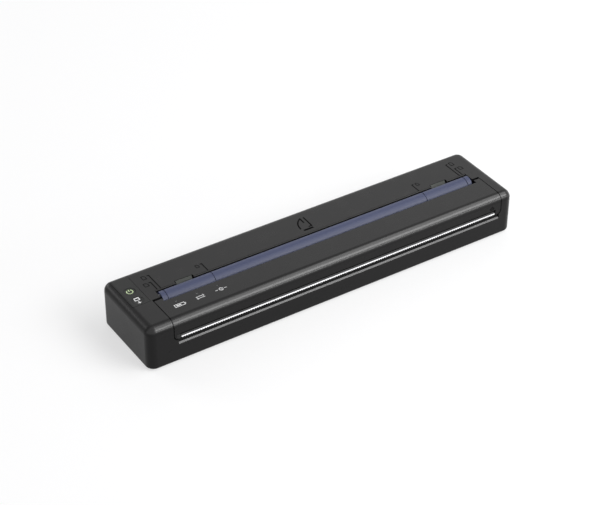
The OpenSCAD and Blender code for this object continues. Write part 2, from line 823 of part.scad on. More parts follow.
module tear_bar() {
    top = [y_front + mouth_depth - fit, cover_bottom + tear_h];
    lean = atan2(0.75, tear_h);
    n = floor(tear_l / tear_pitch);
    color([0.9, 0.9, 0.9]) translate([path_x - n * tear_pitch / 2 - 0.2, top[0], top[1]])
        rotate([90 - lean, 0, 0]) linear_extrude(tear_t) polygon(concat(
            [[0, 0]],
            [for (i = [0:n - 1]) each [[i * tear_pitch, 0.45 - tear_h], [(i + 0.5) * tear_pitch, -tear_h]]],
            [[n * tear_pitch, 0.45 - tear_h], [n * tear_pitch, 0]]));
}

// ---------- platen, which turns in bushes in the cover ----------

module platen_shaft() {
    color("silver") rod(gear_x0 - 0.1, cheek_x1 + bush_t + 0.6 - gear_x0, platen_c, shaft_r);
}

module platen_rubber() {
    color([0.12, 0.12, 0.12]) along_x(path_x - rubber_l / 2, rubber_l) translate(platen_c) difference() {
        circle(platen_r, $fn = 72);
        circle(shaft_r);
    }
}

module platen_gear() {
    color("ivory") difference() {
        gear(gear_x0, gear_t, platen_c, platen_teeth, platen_first, shaft_r);
        // Web thinner than the rim
        along_x(gear_x0 - 1, 1.8) translate(platen_c) difference() {
            circle(gear_m * platen_teeth / 2 - 1.4);
            circle(shaft_r + 1);
        }
    }
}

module platen_bushes() {
    color("goldenrod") for (x = [cheek_x0, cheek_x1]) {
        along_x(x, bush_t) translate(platen_c) difference() {
            circle(bush_r);
            circle(shaft_r + fit);
        }
    }
}

// ---------- gear train ----------

module drive_shaft() {
    color("silver") rod(drive_x0 - 0.6, upright_x0 + 1.6 - drive_x0, drive_c, drive_r);
}

module drive_gear() {
    color("ivory") difference() {
        gear(drive_x0, thin_t, drive_c, drive_teeth, drive_first, drive_r);
        lightening(drive_x0, drive_c, gear_m * drive_teeth / 2, drive_r + 1);
    }
}

// Ring of round holes in a wheel's web
module lightening(x, c, rp, hub) {
    mid = (rp - 1.2 + hub) / 2;
    r = (rp - 1.2 - hub) / 2 - 0.6;
    for (a = [30:60:330]) rod(x - 1, thin_t + 2, c + mid * [cos(a), sin(a)], r);
}

module roller_drive_gear() {
    color("ivory") gear(gear_x0, gear_t, drive_c, roller_teeth, roller_first, drive_r);
}

module reduction_gear() {
    color("ivory") difference() {
        union() {
            gear(wheel_x0, thin_t, wheel_c, wheel_teeth, wheel_first, axle_r + fit);
            gear(drive_x0 - 0.2, wheel_x0 - drive_x0 + 0.2, wheel_c, small_teeth, small_first, axle_r + fit);
        }
        lightening(wheel_x0, wheel_c, gear_m * wheel_teeth / 2, gear_m * small_teeth / 2 + 0.7);
    }
}

module reduction_axle() {
    color("silver") union() {
        rod(drive_x0 - 0.5, open_x0 - 0.9 - drive_x0, wheel_c, axle_r);
        rod(drive_x0 - 1.1, 0.6, wheel_c, axle_r + 0.6);
    }
}

module motor_body() {
    color([0.75, 0.75, 0.77]) difference() {
        union() {
            rod(open_x0 + 0.6, motor_l, motor_c, motor_r);
            // Flange on the bulkhead
            along_x(open_x0, 0.7) translate(motor_c) square([2 * motor_r, 2 * motor_r - 2], center = true);
            rod(open_x0 - bulkhead, bulkhead + 1, motor_c, 3.4);
            rod(open_x0 + motor_l, 1.4, motor_c, 3);
        }
        rod(open_x0 - bulkhead - 1, bulkhead + 6, motor_c, 1 + fit);
    }
}

module motor_shaft() {
    color("silver") rod(wheel_x0 - 0.6, open_x0 + 4 - wheel_x0, motor_c, 1);
}

module motor_pinion() {
    color("goldenrod") gear(wheel_x0 - 0.2, thin_t + 0.6, motor_c, pinion_teeth, pinion_first, 1);
}

// ---------- head, chassis and paper guides ----------

module print_head() {
    color([0.85, 0.84, 0.78])
        box([head_x0, head_front, head_top - head_t], [head_x0 + head_l, head_front + head_d, head_top]);
}

module head_heatsink() {
    fin = 1.1;
    color([0.7, 0.71, 0.73]) difference() {
        box([head_x0, head_front - 0.4, sink_bottom],
            [head_x0 + head_l, head_front + head_d - 0.2, head_top - head_t]);
        for (y = [head_front + 0.8:2 * fin:head_front + head_d - 2])
            box([head_x0 - 1, y, sink_bottom - 1], [head_x0 + head_l + 1, y + fin, sink_bottom + 2.6]);
    }
}

// Bowed steel strips between the chassis and the heatsink
module head_springs() {
    rise = sink_bottom - chassis_z - chassis_t;
    t = 0.35;
    color("silver") for (k = [-1.5:1:1.5]) translate([path_x + k * sheet_w / 4, 0, chassis_z + chassis_t])
        along_y(head_front + 2, 5) polygon([
            [-9, 0], [-7, 0], [-2.2, rise - t], [2.2, rise - t], [7, 0], [9, 0],
            [9, t], [7.1, t], [2.3, rise], [-2.3, rise], [-7.1, t], [-9, t]]);
}

module head_cable() {
    t = 0.3;
    y0 = head_front + head_d;
    bend = y0 + 1.4;
    low = chassis_z - 0.5;
    rise_y = board_y0 + 3;
    color([0.85, 0.8, 0.6]) along_x(cable_x, cable_w) polygon([
        [y0, head_top - head_t], [bend - 0.4, head_top - head_t - 0.6], [bend, head_top - head_t - 1.6],
        [bend, low + 1], [bend + 0.4, low + 0.3], [bend + 1.2, low], [rise_y - 1.2, low],
        [rise_y - 0.4, low + 0.3], [rise_y, low + 1], [rise_y, board_z], [rise_y - t, board_z],
        [rise_y - t, low + 1.1],
        [rise_y - 0.6, low + 0.5], [rise_y - 1.3, low + t], [bend + 1.3, low + t], [bend + 0.6, low + 0.5],
        [bend + t, low + 1.1], [bend + t, head_top - head_t - 1.5], [bend - 0.2, head_top - head_t - 0.3],
        [y0, head_top - head_t + t]]);
}

module chassis() {
    window_pitch = (sheet_w - 13) / 7;
    color([0.72, 0.73, 0.75]) difference() {
        union() {
            box([upright_x0, chassis_y0, chassis_z],
                [upright_x1 + chassis_t, chassis_y1, chassis_z + chassis_t]);
            // Turned-up front edge
            box([upright_x0, chassis_y0, chassis_z],
                [upright_x1 + chassis_t, chassis_y0 + chassis_t - 0.2, chassis_z + 4]);
            // Uprights at both ends
            for (x = [upright_x0, upright_x1]) along_x(x, chassis_t) {
                translate([chassis_y0, chassis_z])
                    square([chassis_y1 - chassis_y0, drive_c[1] - chassis_z + 1]);
                translate([drive_c[0] - 3, chassis_z]) square([6, drive_c[1] - chassis_z + 3]);
            }
        }
        rod(upright_x0 - 1, 3, drive_c, drive_r + fit);
        // Windows that make the plate lighter
        for (k = [-3:1:3])
            box([path_x + k * window_pitch - 8, chassis_y0 + 5, 0],
                [path_x + k * window_pitch + 8, chassis_y1 - 5.4, chassis_z + 3]);
        box([cable_x - 0.6, chassis_y1 - 4, 0], [cable_x + cable_w + 0.6, reach, chassis_z + 3]);
    }
}

// Moulded bend that leads the sheet from the slot to the platen
module chute_section(t) {
    c = chute_c;
    difference() {
        union() {
            intersection() {
                translate(c) circle(bend_r + t, $fn = 96);
                translate(c - [0, bend_r + t]) square(bend_r + t);
            }
            translate([c[0] - 5, c[1] - bend_r - t]) square([5, t]);
        }
        translate(c) circle(bend_r, $fn = 96);
    }
}

module paper_chute() {
    foot = z_floor + eps;
    c_y = chute_c[0];
    color([0.1, 0.1, 0.11]) difference() {
        union() {
            along_x(path_x - sheet_w / 2 - 0.4, sheet_w + 0.8) chute_section(1.3);
            // Ribs that carry the bend
            for (k = [-3:1:3]) along_x(path_x + k * rib_pitch - 0.7, 1.4) difference() {
                translate([c_y - 0.6, foot]) square([slot_y - c_y + 1.6, sheet_z + 2 - foot]);
                translate(chute_c) circle(bend_r + 0.6);
            }
        }
        // Window for the paper sensor
        box([sensor_x - 2.6, sensor_y - 2, 0], [sensor_x + 2.6, sensor_y + 2, reach]);
        // Way through for the head's cable
        box([cable_x - 0.6, -reach, 0], [cable_x + cable_w + 0.6, reach, chassis_z + 1]);
    }
}

module paper_sensor() {
    color([0.08, 0.08, 0.08]) difference() {
        box([sensor_x - 2.4, sensor_y - 1.8, chassis_z + 4], [sensor_x + 2.4, sensor_y + 1.8, sheet_z - 1]);
        for (s = [-1, 1]) translate([sensor_x + s * 1.2, sensor_y, sheet_z - 1.6]) cylinder(r = 0.7, h = 2);
    }
    color([0.05, 0.3, 0.15])
        box([sensor_x - 4, sensor_y - 2.1, chassis_z + 3], [sensor_x + 4, sensor_y + 3.1, chassis_z + 4]);
}

// Grey ramp in a notch behind the bar
module paper_tab(x) {
    w = 10.5;
    lean = 1.9;
    color([0.5, 0.5, 0.5]) along_x(x - w / 2, w) polygon([
        [slot_y + fit, z_top - 5.4], [slot_y + 2.2, z_top - 5.4], [slot_y + 2.2, z_top - 0.2],
        [slot_y + lean, z_top - 0.2], [slot_y + fit, z_top - 2.4]]);
}

module left_paper_tab() {
    paper_tab(tab_x0);
}

module right_paper_tab() {
    paper_tab(tab_x1);
}

// ---------- electronics and battery ----------

module main_board() {
    color([0.05, 0.3, 0.15]) difference() {
        box([board_x0, board_y0, board_z], [board_x1, board_y1, board_z + board_t]);
        for (p = [[board_x0 + 24, board_y1 - 4.1], [board_x1 - 94.6, board_y0 + 3]])
            translate([p[0], p[1], board_z - 1]) cylinder(r = 1.5, h = 4);
    }
}

// Packages that stand on the main board, each chip as [x, y, length, depth, height]
module board_parts() {
    top = board_z + board_t;
    x = (board_x0 + board_x1) / 2;
    y = board_y0 + 7;
    chips = [
        [x - 40, y + 1, 14, 10, 1.6], [x - 8, y, 10, 10, 1.4],
        [x + 20, y + 1, 8, 6, 1.8], [x + 56, y, 12, 9, 2.2]];
    color([0.1, 0.1, 0.1]) for (p = chips)
        box([p[0] - p[2] / 2, p[1] - p[3] / 2, top], [p[0] + p[2] / 2, p[1] + p[3] / 2, top + p[4]]);
    color("silver") for (k = [0, 1]) translate([x + 69.5 + 7 * k, y, top]) cylinder(r = 2.5, h = 3.2);
    // Socket of the head's cable
    color("ivory")
        box([cable_x - 1.5, board_y0 + 3.1, board_z - 2.4], [cable_x + cable_w + 1.5, board_y0 + 6, board_z]);
}

module dc_jack() {
    w = jack_w / 2;
    color([0.08, 0.08, 0.08]) difference() {
        box([x_face - 13, jack_at[0] - w, jack_at[1] - w], [x_face, jack_at[0] + w, board_z]);
        rod(x_face - 10.5, reach, jack_at, 3.1);
    }
    color("silver") rod(x_face - 12, 11, jack_at, 0.8);
}

module usb_port() {
    w = usb_w / 2;
    color("silver") difference() {
        box([x_face - 8, usb_at[0] - w, usb_at[1] - 1.9], [x_face + 0.2, usb_at[0] + w, board_z]);
        box([x_face - 7.4, usb_at[0] - w + 0.4, usb_at[1] - 1.5],
            [reach * 2, usb_at[0] + w - 0.4, usb_at[1] + 1.5]);
    }
    color([0.1, 0.1, 0.1])
        box([x_face - 7.5, usb_at[0] - 2.4, usb_at[1] - 0.4], [x_face - 1, usb_at[0] + 2.4, usb_at[1] + 0.4]);
}

module battery_pack() {
    r = 2;
    y0 = pack_y1 - pack_d;
    color([0.16, 0.16, 0.18]) along_x(pack_x - pack_l / 2, pack_l) union() {
        translate([y0 + r, pack_z]) square([pack_d - 2 * r, pack_h]);
        translate([y0, pack_z + r]) square([pack_d, pack_h - 2 * r]);
        for (y = [y0 + r, y0 + pack_d - r]) for (z = [pack_z + r, pack_z + pack_h - r])
            translate([y, z]) circle(r);
    }
}

module battery_contacts() {
    x = pack_x + pack_l / 2;
    y = pack_y1 - pack_d / 2;
    color([0.12, 0.12, 0.12]) box([x + 0.9, y - 5, board_z - 8], [x + 4, y + 5, board_z]);
    color("goldenrod") for (s = [-3, 0, 3])
        box([x + 0.1, y + s - 0.6, board_z - 6.5], [x + 1, y + s + 0.6, board_z - 4.5]);
}

// Flap in the rear wall, hung on two pins at its top edge
module battery_cover() {
    x0 = bay_x0 + flap_gap;
    l = bay_x1 - bay_x0 - 2 * flap_gap;
    color([0.13, 0.13, 0.14]) difference() {
        union() {
            along_x(x0, l) {
                translate([flap_hinge_y, flap_hinge_z]) circle(flap_hinge_r);
                translate([y_rear - flap_t, flap_bottom]) square([flap_t, flap_hinge_z - flap_bottom]);
            }
            // Ribs inside
            for (k = [-1:1]) along_x(pack_x + k * pack_l / 3.2 - 0.6, 1.2) polygon([
                [y_rear - flap_t + eps, flap_bottom + 2], [y_rear - flap_t + eps, flap_hinge_z - 3],
                [y_rear - flap_t - 0.6, flap_hinge_z - 4], [y_rear - flap_t - 0.6, flap_bottom + 3]]);
        }
        // Finger scoop at the lower edge
        translate([pack_x, y_rear + 3.4, flap_bottom - 2]) cylinder(r = 4.6, h = 5);
        for (x = [x0 - 1, x0 + l - 4]) rod(x, 5, [flap_hinge_y, flap_hinge_z], 0.52);
    }
}

module battery_hinge_pins() {
    color("silver") for (x = [bay_x0 - 3, bay_x1 - 3.5]) rod(x, 6.5, [flap_hinge_y, flap_hinge_z], 0.5);
}

main_case();
bottom_cover();
rubber_feet();
case_screws();
button_panel();
power_button();
feed_button();
key_board();
key_switches();
release_cover();
guide_bar();
tear_bar();
hinge_pins();
light_guide();
led_board();
left_paper_tab();
right_paper_tab();
paper_chute();
paper_sensor();
chassis();
print_head();
head_heatsink();
head_springs();
head_cable();
platen_rubber();
platen_shaft();
platen_gear();
platen_bushes();
drive_shaft();
drive_gear();
roller_drive_gear();
reduction_gear();
reduction_axle();
motor_body();
motor_shaft();
motor_pinion();
main_board();
board_parts();
usb_port();
dc_jack();
battery_pack();
battery_contacts();
battery_cover();
battery_hinge_pins();
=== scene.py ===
"""Looks of a slim portable thermal printer for A4 sheets.

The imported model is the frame: X runs along the case, the sheet leaves towards -Y, and Z = 0 is the
table.
Lengths are metres; those given in millimetres are multiplied by MM.
"""

import json
import math

import bpy
import numpy as np
from mathutils import Matrix, Vector


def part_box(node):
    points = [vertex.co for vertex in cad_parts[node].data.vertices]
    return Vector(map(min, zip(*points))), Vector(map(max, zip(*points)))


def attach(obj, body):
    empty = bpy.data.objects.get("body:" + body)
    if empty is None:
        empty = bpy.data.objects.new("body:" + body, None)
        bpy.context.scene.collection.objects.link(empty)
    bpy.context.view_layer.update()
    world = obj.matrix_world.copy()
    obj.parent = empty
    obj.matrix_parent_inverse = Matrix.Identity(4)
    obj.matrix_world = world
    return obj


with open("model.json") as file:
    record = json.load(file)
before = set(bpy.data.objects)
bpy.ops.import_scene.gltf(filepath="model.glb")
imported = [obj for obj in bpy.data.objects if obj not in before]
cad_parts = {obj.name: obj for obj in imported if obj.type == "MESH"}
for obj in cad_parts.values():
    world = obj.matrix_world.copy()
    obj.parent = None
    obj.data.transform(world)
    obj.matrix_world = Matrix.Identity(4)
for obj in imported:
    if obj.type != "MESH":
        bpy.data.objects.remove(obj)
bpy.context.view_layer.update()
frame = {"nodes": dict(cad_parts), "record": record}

MM = 0.001
CASE_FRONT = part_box("main_case")[0][1]
CASE_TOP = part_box("main_case")[1][2]
PATH_X = 4 * MM  # middle of the paper's path
PLATEN_Y = -15 * MM
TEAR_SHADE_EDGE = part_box("tear_bar")[0][2] + 0.96 * MM  # lower edge of the painted shade on the tear strip

# Ramp under the paper exit: its ends, its depth from the case's front, and three heights
LIP_ENDS = (-108.5 * MM, 117 * MM)
LIP_DEPTH = 1.3 * MM
RAMP_FOOT = CASE_TOP - 16.4 * MM
RAMP_MIDDLE = RAMP_FOOT + 1.05 * MM
RAMP_TOP = RAMP_FOOT + 2.3 * MM


# ---------- camera ----------

CAMERA_TURN = math.radians(-33.51)
CAMERA_RISE = math.radians(36.08)
CAMERA_ROLL = math.radians(0.444)
CAMERA_DISTANCE = 1055.92 * MM
CAMERA_SIDESTEP = (-6.767 * MM, 0.316 * MM)
CAMERA_AIM = Vector((0, 0, 15.9 * MM))
FOCAL_PIXELS = 1781.57
PHOTO_WIDTH = 606
SENSOR = 36


def place_camera():
    """Looks at the aim from the turn and rise, rolls about its axis and steps sideways in its own plane."""
    back = Vector((
        math.sin(CAMERA_TURN) * math.cos(CAMERA_RISE),
        -math.cos(CAMERA_TURN) * math.cos(CAMERA_RISE),
        math.sin(CAMERA_RISE)))
    sideways = (-back).cross(Vector((0, 0, 1))).normalized()
    upright = back.cross(sideways)
    right = math.cos(CAMERA_ROLL) * sideways + math.sin(CAMERA_ROLL) * upright
    up = math.cos(CAMERA_ROLL) * upright - math.sin(CAMERA_ROLL) * sideways
    spot = CAMERA_AIM + CAMERA_DISTANCE * back + CAMERA_SIDESTEP[0] * right + CAMERA_SIDESTEP[1] * up
    data = bpy.data.cameras.new("camera")
    data.sensor_width = SENSOR
    data.lens = FOCAL_PIXELS / PHOTO_WIDTH * SENSOR
    data.clip_start = 0.05
    camera = bpy.data.objects.new("camera", data)
    camera.matrix_world = Matrix((
        (right.x, up.x, back.x, spot.x),
        (right.y, up.y, back.y, spot.y),
        (right.z, up.z, back.z, spot.z),
        (0, 0, 0, 1)))
    bpy.context.scene.collection.objects.link(camera)
    bpy.context.scene.camera = camera


# ---------- shader maths ----------

class Wave:
    """A number that changes over a surface. Python's operators on it add Math nodes."""

    def __init__(self, finish, socket):
        self.finish = finish
        self.socket = socket

    def sum_up(self, operation, *numbers):
        return self.finish.node("ShaderNodeMath", {"operation": operation}, dict(enumerate(numbers)))

    def __add__(self, other):
        return self.sum_up("ADD", self, other)

    def __radd__(self, other):
        return self.sum_up("ADD", other, self)

    def __sub__(self, other):
        return self.sum_up("SUBTRACT", self, other)

    def __rsub__(self, other):
        return self.sum_up("SUBTRACT", other, self)

    def __mul__(self, other):
        return self.sum_up("MULTIPLY", self, other)

    def __rmul__(self, other):
        return self.sum_up("MULTIPLY", other, self)

    def __gt__(self, other):
        return self.sum_up("GREATER_THAN", self, other)

    def __lt__(self, other):
        return self.sum_up("LESS_THAN", self, other)

    def __abs__(self):
        return self.sum_up("ABSOLUTE", self)

    def wrapped(self, length):
        return self.sum_up("WRAP", self, length, 0)

    def ramp(self, low, high):
        """Rises smoothly from 0 at low to 1 at high."""
        return self.finish.node("ShaderNodeMapRange", {"interpolation_type": "SMOOTHSTEP"}, {
            0: self, 1: low, 2: high})


class Finish:
    """A material with its principled shader. What is the same all over goes straight on the shader."""

    def __init__(self, name, **fixed):
        self.material = bpy.data.materials.new(name)
        self.material.use_nodes = True
        self.tree = self.material.node_tree
        self.shader = self.tree.nodes["Principled BSDF"]
        for socket, value in fixed.items():
            self.put(socket.replace("_", " "), value)

    def feed(self, socket, value):
        if isinstance(value, Wave):
            self.tree.links.new(value.socket, socket)
        else:
            socket.default_value = value

    def put(self, socket, value):
        self.feed(self.shader.inputs[socket], value)

    def present(self, socket):
        """What feeds one of the shader's sockets now."""
        return Wave(self, self.shader.inputs[socket].links[0].from_socket)

    def node(self, kind, settings=None, values=None, output=0):
        """Adds a node, sets its settings, then its sockets' values or links, and returns one output."""
        new = self.tree.nodes.new(kind)
        for name, value in (settings or {}).items():
            setattr(new, name, value)
        for key, value in (values or {}).items():
            self.feed(new.inputs[key], value)
        return Wave(self, new.outputs[output])

    def place(self, stretch=(1, 1, 1)):
        """Object coordinates in metres, multiplied by stretch."""
        raw = self.node("ShaderNodeTexCoord", output="Object")
        return self.node("ShaderNodeMapping", {"vector_type": "POINT"}, {"Vector": raw, "Scale": stretch})

    def facing(self, axis):
        """One coordinate of the surface's own direction, from -1 to 1."""
        raw = self.node("ShaderNodeTexCoord", output="Normal")
        return self.node("ShaderNodeSeparateXYZ", values={0: raw}, output="XYZ".index(axis))

    def along(self, axis):
        """One Object coordinate, in metres."""
        raw = self.node("ShaderNodeTexCoord", output="Object")
        return self.node("ShaderNodeSeparateXYZ", values={0: raw}, output="XYZ".index(axis))

    def noise(self, grain, detail=2.0, stretch=(1, 1, 1)):
        """Noise from 0 to 1 whose grains measure about the given length."""
        return self.node("ShaderNodeTexNoise", values={
            "Vector": self.place(stretch), "Scale": 1 / grain, "Detail": detail})

    def blend(self, mask, first, second):
        """Colour that runs from first to second as the mask goes from 0 to 1."""
        return self.node("ShaderNodeMix", {"data_type": "RGBA"}, {
            "Factor": mask,
            "A": first if isinstance(first, Wave) else (*first, 1),
            "B": second if isinstance(second, Wave) else (*second, 1)}, output="Result")

    def tint(self, mask, first, second):
        self.put("Base Color", self.blend(mask, first, second))

    def bump(self, height, depth, strength=1.0):
        """Height from 0 to 1 that stands depth metres out of the surface."""
        self.put("Normal", self.node("ShaderNodeBump", values={
            "Height": height, "Distance": depth, "Strength": strength}))


def tinted(colour, share):
    return tuple(channel * share for channel in colour)


# ---------- finishes ----------

CASE_BLACK = (0.0092, 0.009, 0.0092)
EDGE_POLISH = 0.52
EDGE_DEPTH = 7 * MM
COAT_BLUR = 0.2
STEEL_GRAIN = 0.25 * MM
STEEL_DEPTH = 0.006 * MM


def moulded(name, colour, rough=0.31, grain=0.45 * MM, depth=0.012 * MM, shine=0.15):
    """Injection-moulded plastic: fine spark texture, faint flow clouds and places polished by handling."""
    made = Finish(name, Specular_IOR_Level=shine)
    texture = made.noise(grain, 3)
    clouds = made.noise(26 * MM, 2, (0.6, 1, 1))
    handled = made.noise(9 * MM, 4).ramp(0.52, 0.7)
    worn = made.noise(14 * MM).ramp(0.5, 0.62)
    scratches = made.noise(2.2 * MM, 2, (0.08, 1, 1)).ramp(0.66, 0.74) * worn
    made.tint(0.35 * clouds + 0.25 * texture + 0.08 * scratches, tinted(colour, 0.84), tinted(colour, 1.3))
    uneven = 0.1 * (clouds - 0.5) + 0.1 * (texture - 0.5)
    made.put("Roughness", rough + uneven - 0.04 * handled - 0.025 * scratches)
    made.bump(texture, depth, 0.6)
    return made


def front_edge(made):
    """Mask that is 1 on the rounded edge along the front, where the surface faces forwards and up."""
    near = made.along("Y") < CASE_FRONT + EDGE_DEPTH
    return near * (-1 * made.facing("Y")).ramp(0.2, 0.45) * made.facing("Z").ramp(0.2, 0.45)


def cover_shell():
    """Moulded cover whose front edge is rubbed smooth by hands."""
    made = moulded("cover_black", (0.01, 0.0098, 0.01), 0.29)
    made.put("Coat Weight", EDGE_POLISH * front_edge(made))
    made.put("Coat Roughness", COAT_BLUR)
    return made


def case_shell():
    """Moulded case with a rubbed front edge; its ramp has painted shade above and a glossy foot."""
    made = moulded("case_black", CASE_BLACK)
    across, height, depth = made.along("X"), made.along("Z"), made.along("Y")
    soft = 0.1 * MM
    ramp = (across > LIP_ENDS[0]) * (across < LIP_ENDS[1]) * (depth < CASE_FRONT + LIP_DEPTH)
    foot = ramp * height.ramp(RAMP_FOOT - soft, RAMP_FOOT + soft) * (
        1 - height.ramp(RAMP_MIDDLE - soft, RAMP_MIDDLE + soft))
    # Painted shade: the ramp's upper part is coloured near-black and rougher, standing for the shade of the
    # exit slot.
    upper = ramp * height.ramp(RAMP_MIDDLE - soft, RAMP_MIDDLE + soft) * (height < RAMP_TOP)
    made.put("Base Color", made.blend(upper, made.present("Base Color"), (0.003, 0.003, 0.003)))
    made.put("Roughness", made.present("Roughness") + 0.5 * upper)
    made.put("Coat Weight", EDGE_POLISH * front_edge(made) * (1 - ramp) + foot)
    made.put("Coat Roughness", COAT_BLUR)
    return made


def bar_finish():
    """Smooth lavender-blue plastic with faint lines drawn along the bar."""
    made = Finish("bar_blue", Specular_IOR_Level=0.26, Coat_Roughness=0.22)
    drawn = made.noise(0.5 * MM, 3, (0.02, 1, 1))
    clouds = made.noise(30 * MM, 2, (0.4, 1, 1))
    colour = (0.049, 0.058, 0.113)
    made.tint(0.3 * drawn + 0.5 * clouds, tinted(colour, 0.82), tinted(colour, 1.2))
    made.put("Roughness", 0.38 + 0.12 * drawn + 0.08 * (clouds - 0.5))
    made.put("Coat Weight", 0.1 * clouds)
    made.bump(drawn, 0.006 * MM, 0.5)
    return made.material


def ground_steel(name, colour, rough, lines):
    """Ground or rolled steel: fine grain stretched by lines along each axis, with dull patches."""
    made = Finish(name, Metallic=1.0)
    drawn = made.noise(STEEL_GRAIN, 3, lines)
    patches = made.noise(7 * MM, 3)
    made.tint(0.5 * drawn + 0.4 * patches, tinted(colour, 0.86), tinted(colour, 1.1))
    made.put("Roughness", rough + 0.16 * (drawn - 0.5) + 0.1 * (patches - 0.5))
    made.bump(drawn, STEEL_DEPTH, 0.5)
    return made.material


def tear_strip():
    """Bright ground edge of the tear strip; its upper part is painted black as shade under the cover."""
    made = Finish("tear_steel")
    drawn = made.noise(STEEL_GRAIN, 3, (0.03, 1, 1))
    patches = made.noise(7 * MM, 3)
    # Painted shade: above this edge the strip is coloured black and dull, for the shade under the cover's
    # edge.
    unshaded = 1 - made.along("Z").ramp(TEAR_SHADE_EDGE, TEAR_SHADE_EDGE + 0.12 * MM)
    steel = made.blend(0.5 * drawn + 0.4 * patches, (0.78, 0.78, 0.79), (0.96, 0.96, 0.97))
    made.put("Base Color", made.blend(unshaded, (0.012, 0.012, 0.013), steel))
    made.put("Metallic", unshaded)
    made.put("Roughness", 0.4 - 0.14 * unshaded + 0.16 * (drawn - 0.5) + 0.1 * (patches - 0.5))
    made.bump(drawn, STEEL_DEPTH, 0.5)
    return made.material


def plated_sheet():
    """Zinc-plated sheet steel with its spangle and a few rub marks."""
    made = Finish("chassis_steel", Metallic=1.0)
    spangle = made.node("ShaderNodeTexVoronoi", {"feature": "F1"}, {
        "Vector": made.place(), "Scale": 1 / (5 * MM)}, output="Color")
    grey = made.node("ShaderNodeRGBToBW", values={0: spangle})
    rubbed = made.noise(1.4 * MM, 3, (0.1, 1, 1)).ramp(0.58, 0.7)
    made.tint(0.6 * grey + 0.3 * rubbed, (0.46, 0.48, 0.5), (0.66, 0.68, 0.69))
    made.put("Roughness", 0.3 + 0.16 * grey + 0.1 * rubbed)
    made.bump(grey + 0.3 * rubbed, 0.01 * MM, 0.4)
    return made.material


def soft_rubber():
    """Ground rubber: fine pits and a dusty bloom."""
    made = Finish("rubber_black", Specular_IOR_Level=0.25)
    pits = made.noise(0.35 * MM, 3)
    bloom = made.noise(6 * MM, 3)
    colour = (0.02, 0.02, 0.02)
    made.tint(0.4 * pits + 0.5 * bloom, tinted(colour, 0.7), tinted(colour, 1.6))
    made.put("Roughness", 0.78 + 0.12 * (bloom - 0.5) + 0.08 * (pits - 0.5))
    made.bump(pits, 0.03 * MM, 0.7)
    return made.material


def acetal():
    """Natural acetal of a gear: milky white, a little grease in the teeth."""
    made = Finish("gear_white", Specular_IOR_Level=0.45, Subsurface_Weight=0.15, Subsurface_Scale=1 * MM)
    grease = made.noise(1.6 * MM, 3).ramp(0.5, 0.72)
    texture = made.noise(0.3 * MM, 2)
    made.tint(0.7 * grease + 0.2 * texture, (0.78, 0.77, 0.7), (0.6, 0.56, 0.44))
    made.put("Roughness", 0.42 + 0.1 * texture - 0.18 * grease)
    made.bump(texture, 0.01 * MM, 0.4)
    return made.material


def turned(name, colour, rough):
    """Turned brass or sintered bronze: rings round the X axis and darker tarnish."""
    made = Finish(name, Metallic=1.0)
    rings = made.noise(0.12 * MM, 2, (1, 0.05, 0.05))
    tarnish = made.noise(2 * MM, 4).ramp(0.45, 0.75)
    made.tint(tarnish, colour, tinted(colour, 0.55))
    made.put("Roughness", rough + 0.14 * rings + 0.14 * tarnish)
    made.bump(rings, 0.008 * MM, 0.5)
    return made.material


def circuit_board():
    """Green solder mask over copper tracks, which run along X and Y in turns, with plated holes."""
    made = Finish("board_green", Specular_IOR_Level=0.5, Coat_Roughness=0.12, Coat_Weight=0.5)
    pitch = 1.3 * MM
    rows = abs(made.along("Y").wrapped(pitch) - pitch / 2) < 0.2 * MM
    columns = abs(made.along("X").wrapped(pitch) - pitch / 2) < 0.2 * MM
    patch = made.noise(9 * MM, 1, (0.6, 1, 1)).ramp(0.48, 0.5)
    tracks = patch * rows + (1 - patch) * columns
    kept = made.noise(5 * MM, 2).ramp(0.46, 0.5)
    weave = made.noise(0.5 * MM, 2)
    made.tint(0.8 * tracks * kept + 0.15 * weave, (0.012, 0.075, 0.035), (0.04, 0.2, 0.09))
    made.put("Roughness", 0.3 + 0.1 * weave)
    made.bump(tracks * kept + 0.1 * weave, 0.03 * MM, 0.5)
    return made.material


def chip_finish():
    """Black moulded packages with a matt, faintly speckled top."""
    made = Finish("chip_black", Specular_IOR_Level=0.35)
    speckle = made.noise(0.25 * MM, 3)
    made.tint(speckle, (0.012, 0.012, 0.013), (0.035, 0.035, 0.036))
    made.put("Roughness", 0.5 + 0.16 * speckle)
    made.bump(speckle, 0.02 * MM, 0.5)
    return made.material


def glazed_ceramic():
    """Glazed ceramic of the print head, with the conductor pattern showing faintly through the glaze."""
    made = Finish("ceramic", Specular_IOR_Level=0.6, Coat_Weight=0.7, Coat_Roughness=0.05)
    pitch = 0.9 * MM
    fan = abs(made.along("X").wrapped(pitch) - pitch / 2) < 0.18 * MM
    clouds = made.noise(4 * MM, 3)
    made.tint(0.5 * fan + 0.3 * clouds, (0.72, 0.7, 0.62), (0.5, 0.45, 0.34))
    made.put("Roughness", 0.16 + 0.08 * clouds)
    made.bump(fan + 0.2 * clouds, 0.006 * MM, 0.4)
    return made.material


def extruded_aluminium():
    """Extruded aluminium: die lines along X and a matt oxide."""
    made = Finish("aluminium", Metallic=1.0)
    lines = made.noise(0.3 * MM, 3, (0.01, 1, 1))
    oxide = made.noise(8 * MM, 3)
    made.tint(0.5 * lines + 0.4 * oxide, (0.6, 0.61, 0.63), (0.8, 0.81, 0.82))
    made.put("Roughness", 0.36 + 0.14 * lines + 0.1 * oxide)
    made.bump(lines, 0.01 * MM, 0.5)
    return made.material


